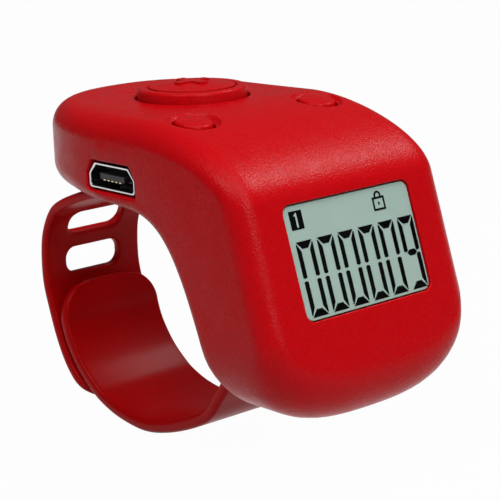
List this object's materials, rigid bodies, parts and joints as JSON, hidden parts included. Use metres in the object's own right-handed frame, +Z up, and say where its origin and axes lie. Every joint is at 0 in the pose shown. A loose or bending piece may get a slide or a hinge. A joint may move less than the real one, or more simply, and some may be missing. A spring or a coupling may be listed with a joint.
{
  "type": "digital tally counter",
  "caption": "Digital tally counter worn on a finger: curved casing over the finger, sloping display, round count button, two small keys, charging socket and slotted strap.",
  "frame": {"origin": "middle of the finger hole, half way along the casing's width", "axes": "+X along the finger across the casing, +Y back, away from the display, +Z up, towards the count button"},
  "size_m": [0.028, 0.0493, 0.0387],
  "materials": {
    "case_plastic": "fine matt spark texture",
    "cover_plastic": "matt",
    "button_plastic": "satin",
    "strap_rubber": "satin silicone",
    "lens_plastic": "clear",
    "display_glass": "grey-green display",
    "white_plastic": "matt",
    "contact_rubber": "matt",
    "circuit_board": "solder mask",
    "ribbon_film": "film",
    "battery_foil": "foil",
    "black_plastic": "matt",
    "port_steel": "bright nickel",
    "screw_steel": "plain"
  },
  "bodies": {
    "root": {"case": "case_plastic", "inner_cover": "cover_plastic", "rear_strap": "strap_rubber", "front_strap": "strap_rubber", "display_lens": "lens_plastic", "display_glass": "display_glass", "display_light": "white_plastic", "display_contact": "contact_rubber", "display_board": "circuit_board", "main_board": "circuit_board", "board_ribbon": "ribbon_film", "battery": "battery_foil", "control_chip": "black_plastic", "count_switch": "black_plastic", "reset_switch": "black_plastic", "lock_switch": "black_plastic", "port_shell": "port_steel", "port_tongue": "black_plastic", "cover_screw_1": "screw_steel", "cover_screw_2": "screw_steel", "cover_screw_3": "screw_steel", "cover_screw_4": "screw_steel"},
    "count_button": {"count_button": "button_plastic"},
    "reset_button": {"reset_button": "button_plastic"},
    "lock_button": {"lock_button": "button_plastic"},
    "count_plunger": {"count_plunger": "black_plastic"},
    "reset_plunger": {"reset_plunger": "black_plastic"},
    "lock_plunger": {"lock_plunger": "black_plastic"}
  },
  "joints": [
    {"name": "count_press", "type": "slide", "parent": "root", "child": "count_button", "axis": [0, 0, -1], "range_m": [0, 0.0005], "stiffness_N_per_m": 600},
    {"name": "reset_press", "type": "slide", "parent": "root", "child": "reset_button", "axis": [0, 0, -1], "range_m": [0, 0.0003], "stiffness_N_per_m": 500},
    {"name": "lock_press", "type": "slide", "parent": "root", "child": "lock_button", "axis": [0, 0, -1], "range_m": [0, 0.0003], "stiffness_N_per_m": 500},
    {"name": "count_plunger_travel", "type": "slide", "parent": "root", "child": "count_plunger", "axis": [0, 0, -1], "range_m": [0, 0.0005]},
    {"name": "reset_plunger_travel", "type": "slide", "parent": "root", "child": "reset_plunger", "axis": [0, 0, -1], "range_m": [0, 0.0003]},
    {"name": "lock_plunger_travel", "type": "slide", "parent": "root", "child": "lock_plunger", "axis": [0, 0, -1], "range_m": [0, 0.0003]}
  ],
  "couplings": [
    {"joint": "count_plunger_travel", "follows": "count_press", "ratio": 1},
    {"joint": "reset_plunger_travel", "follows": "reset_press", "ratio": 1},
    {"joint": "lock_plunger_travel", "follows": "lock_press", "ratio": 1}
  ]
}
